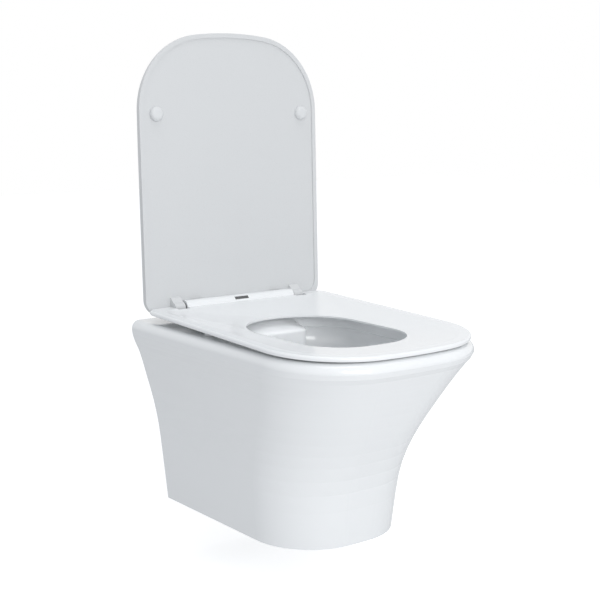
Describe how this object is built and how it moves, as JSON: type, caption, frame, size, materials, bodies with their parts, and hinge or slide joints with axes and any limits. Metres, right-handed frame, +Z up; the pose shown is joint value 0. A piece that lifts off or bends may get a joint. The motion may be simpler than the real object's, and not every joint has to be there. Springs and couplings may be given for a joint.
{
  "type": "wall hung toilet",
  "caption": "Wall hung toilet pan with a flushing rim bowl, trapway, lift-off soft-close seat ring and lid on quick-release hinges.",
  "frame": {"origin": "midway between the two wall stud holes, on the pan's rear face, which is the wall's plane", "axes": "+X to the right as seen by someone facing the wall, +Y into the wall, +Z up"},
  "size_m": [0.361, 0.474, 0.7484],
  "materials": {
    "vitreous_china": "gloss",
    "seat_plastic": "gloss",
    "white_plastic": "satin",
    "grey_plastic": "satin",
    "bush_plastic": "matte",
    "damper_plastic": "matte",
    "black_plastic": "matte",
    "white_rubber": "matte",
    "black_rubber": "matte",
    "steel": "brushed",
    "chrome_metal": "polished"
  },
  "bodies": {
    "pan_body": {"pan": "vitreous_china", "wall_sleeves": "bush_plastic", "wall_washers": "steel", "wall_nuts": "steel", "hinge_feet": "chrome_metal", "hinge_posts": "steel", "hinge_bushes": "black_rubber", "hinge_nuts": "black_plastic"},
    "hinge_body": {"hinge_block_left": "white_plastic", "hinge_block_right": "white_plastic", "axle_left": "steel", "axle_right": "steel", "release_spring_left": "steel", "release_spring_right": "steel"},
    "seat_body": {"seat_ring": "seat_plastic", "seat_barrel": "seat_plastic", "seat_inlay": "grey_plastic", "seat_bush": "bush_plastic", "seat_damper": "damper_plastic", "seat_buffers_front": "white_rubber", "seat_buffers_rear": "white_rubber"},
    "lid_body": {"lid": "seat_plastic", "lid_bush": "bush_plastic", "lid_damper": "damper_plastic", "lid_buffers": "white_rubber"},
    "button_left": {"release_button_left": "grey_plastic"},
    "button_right": {"release_button_right": "grey_plastic"}
  },
  "joints": [
    {"name": "seat_lift_off", "type": "slide", "parent": "pan_body", "child": "hinge_body", "axis": [0, 0, 1], "range_m": [0, 0.03]},
    {"name": "seat_hinge", "type": "hinge", "parent": "hinge_body", "child": "seat_body", "pos_m": [0, -0.034, 0.098], "axis": [-1, 0, 0], "range_deg": [0, 93.6]},
    {"name": "lid_hinge", "type": "hinge", "parent": "hinge_body", "child": "lid_body", "pos_m": [0, -0.034, 0.098], "axis": [-1, 0, 0], "range_deg": [-93.65, 0]},
    {"name": "release_left", "type": "slide", "parent": "hinge_body", "child": "button_left", "axis": [0, -1, 0], "range_m": [0, 0.002], "stiffness_N_per_m": 800, "springref_m": -0.002, "deforming": ["release_spring_left"]},
    {"name": "release_right", "type": "slide", "parent": "hinge_body", "child": "button_right", "axis": [0, -1, 0], "range_m": [0, 0.002], "stiffness_N_per_m": 800, "springref_m": -0.002, "deforming": ["release_spring_right"]}
  ]
}
